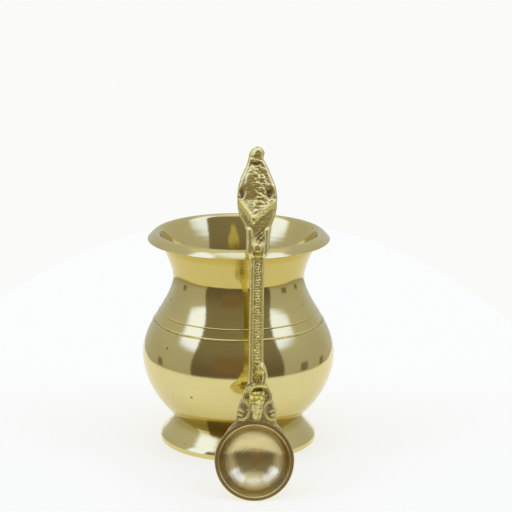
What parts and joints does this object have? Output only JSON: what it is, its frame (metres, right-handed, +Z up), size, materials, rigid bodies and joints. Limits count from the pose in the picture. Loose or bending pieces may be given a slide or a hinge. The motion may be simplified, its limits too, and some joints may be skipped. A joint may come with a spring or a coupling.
{
  "type": "brass water pot with spoon",
  "caption": "Polished brass pot with a flared rolled lip, round belly, turned shoulder grooves and hollow foot ring, with a cast ritual spoon leaning on its lip",
  "frame": {"origin": "centre of the circle the foot ring stands on, on the table", "axes": "+Z up along the pot's axis; -Y towards the spoon, which leans back on the lip; +X to the right seen from the spoon's side"},
  "size_m": [0.08, 0.1155, 0.1276],
  "materials": {
    "polished_brass": "raised, lathe-turned and buffed to a mirror, with fine turning lines and a few dark pin specks",
    "spoon_brass": "turned, with concentric tool rings left in the hollow and a light brown tarnish",
    "cast_brass": "as cast, high places rubbed bright and brown tarnish left in the hollows",
    "braze": "dull yellow brazing metal"
  },
  "bodies": {
    "pot": {"lower_shell": "polished_brass", "upper_shell": "polished_brass", "shoulder_braze": "braze", "foot_ring": "polished_brass", "foot_braze": "braze"},
    "spoon": {"spoon_bowl": "spoon_brass", "spoon_handle": "cast_brass", "spoon_braze": "braze"}
  },
  "joints": [
    {"name": "spoon_lift", "type": "slide", "parent": "pot", "child": "spoon", "axis": [0, 0, 1], "range_m": [0, 0.1]}
  ]
}
